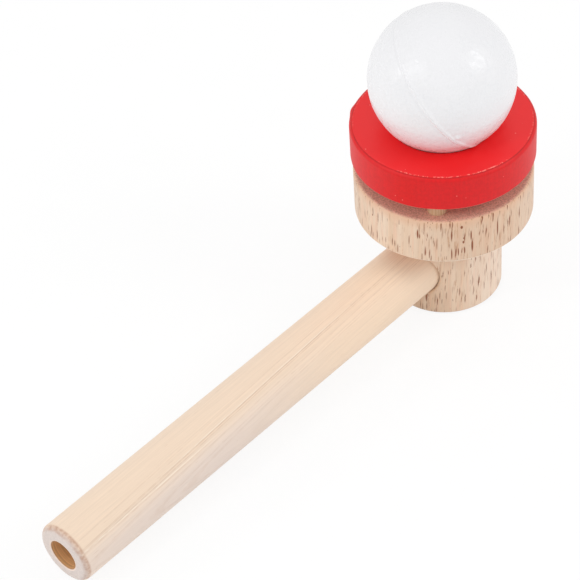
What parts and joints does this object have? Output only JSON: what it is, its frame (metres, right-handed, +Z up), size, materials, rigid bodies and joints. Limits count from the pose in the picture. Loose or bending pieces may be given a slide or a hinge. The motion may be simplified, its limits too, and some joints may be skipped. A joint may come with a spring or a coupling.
{
  "type": "blow ball pipe toy",
  "caption": "Wooden blow ball pipe: a bored mouth tube feeds air up through a turned head and a pegged red ring, where a white foam ball rests and lifts.",
  "frame": {"origin": "centre of the foot, the flat face under the head", "axes": "+Z up along the head's axis; +X along the tube, towards the mouth end; +Y completes a right-handed frame"},
  "size_m": [0.1726, 0.05, 0.0898],
  "materials": {
    "head_wood": "bare sanded hardwood with dark pores along the head's axis",
    "tube_wood": "bare sanded pale dowel, fine grain along the tube",
    "peg_wood": "bare sanded dowel",
    "red_lacquer": "wood with satin opaque red lacquer",
    "white_foam": "moulded bead foam with a fine skin and a mould seam"
  },
  "bodies": {
    "blow_pipe": {"turned_head": "head_wood", "mouth_tube": "tube_wood", "spacer_peg_1": "peg_wood", "spacer_peg_2": "peg_wood", "spacer_peg_3": "peg_wood", "red_ring": "red_lacquer"},
    "ball": {"foam_ball": "white_foam"}
  },
  "joints": [
    {"name": "ball_lift", "type": "slide", "parent": "blow_pipe", "child": "ball", "axis": [0, 0, 1], "range_m": [0, 0.08]}
  ]
}
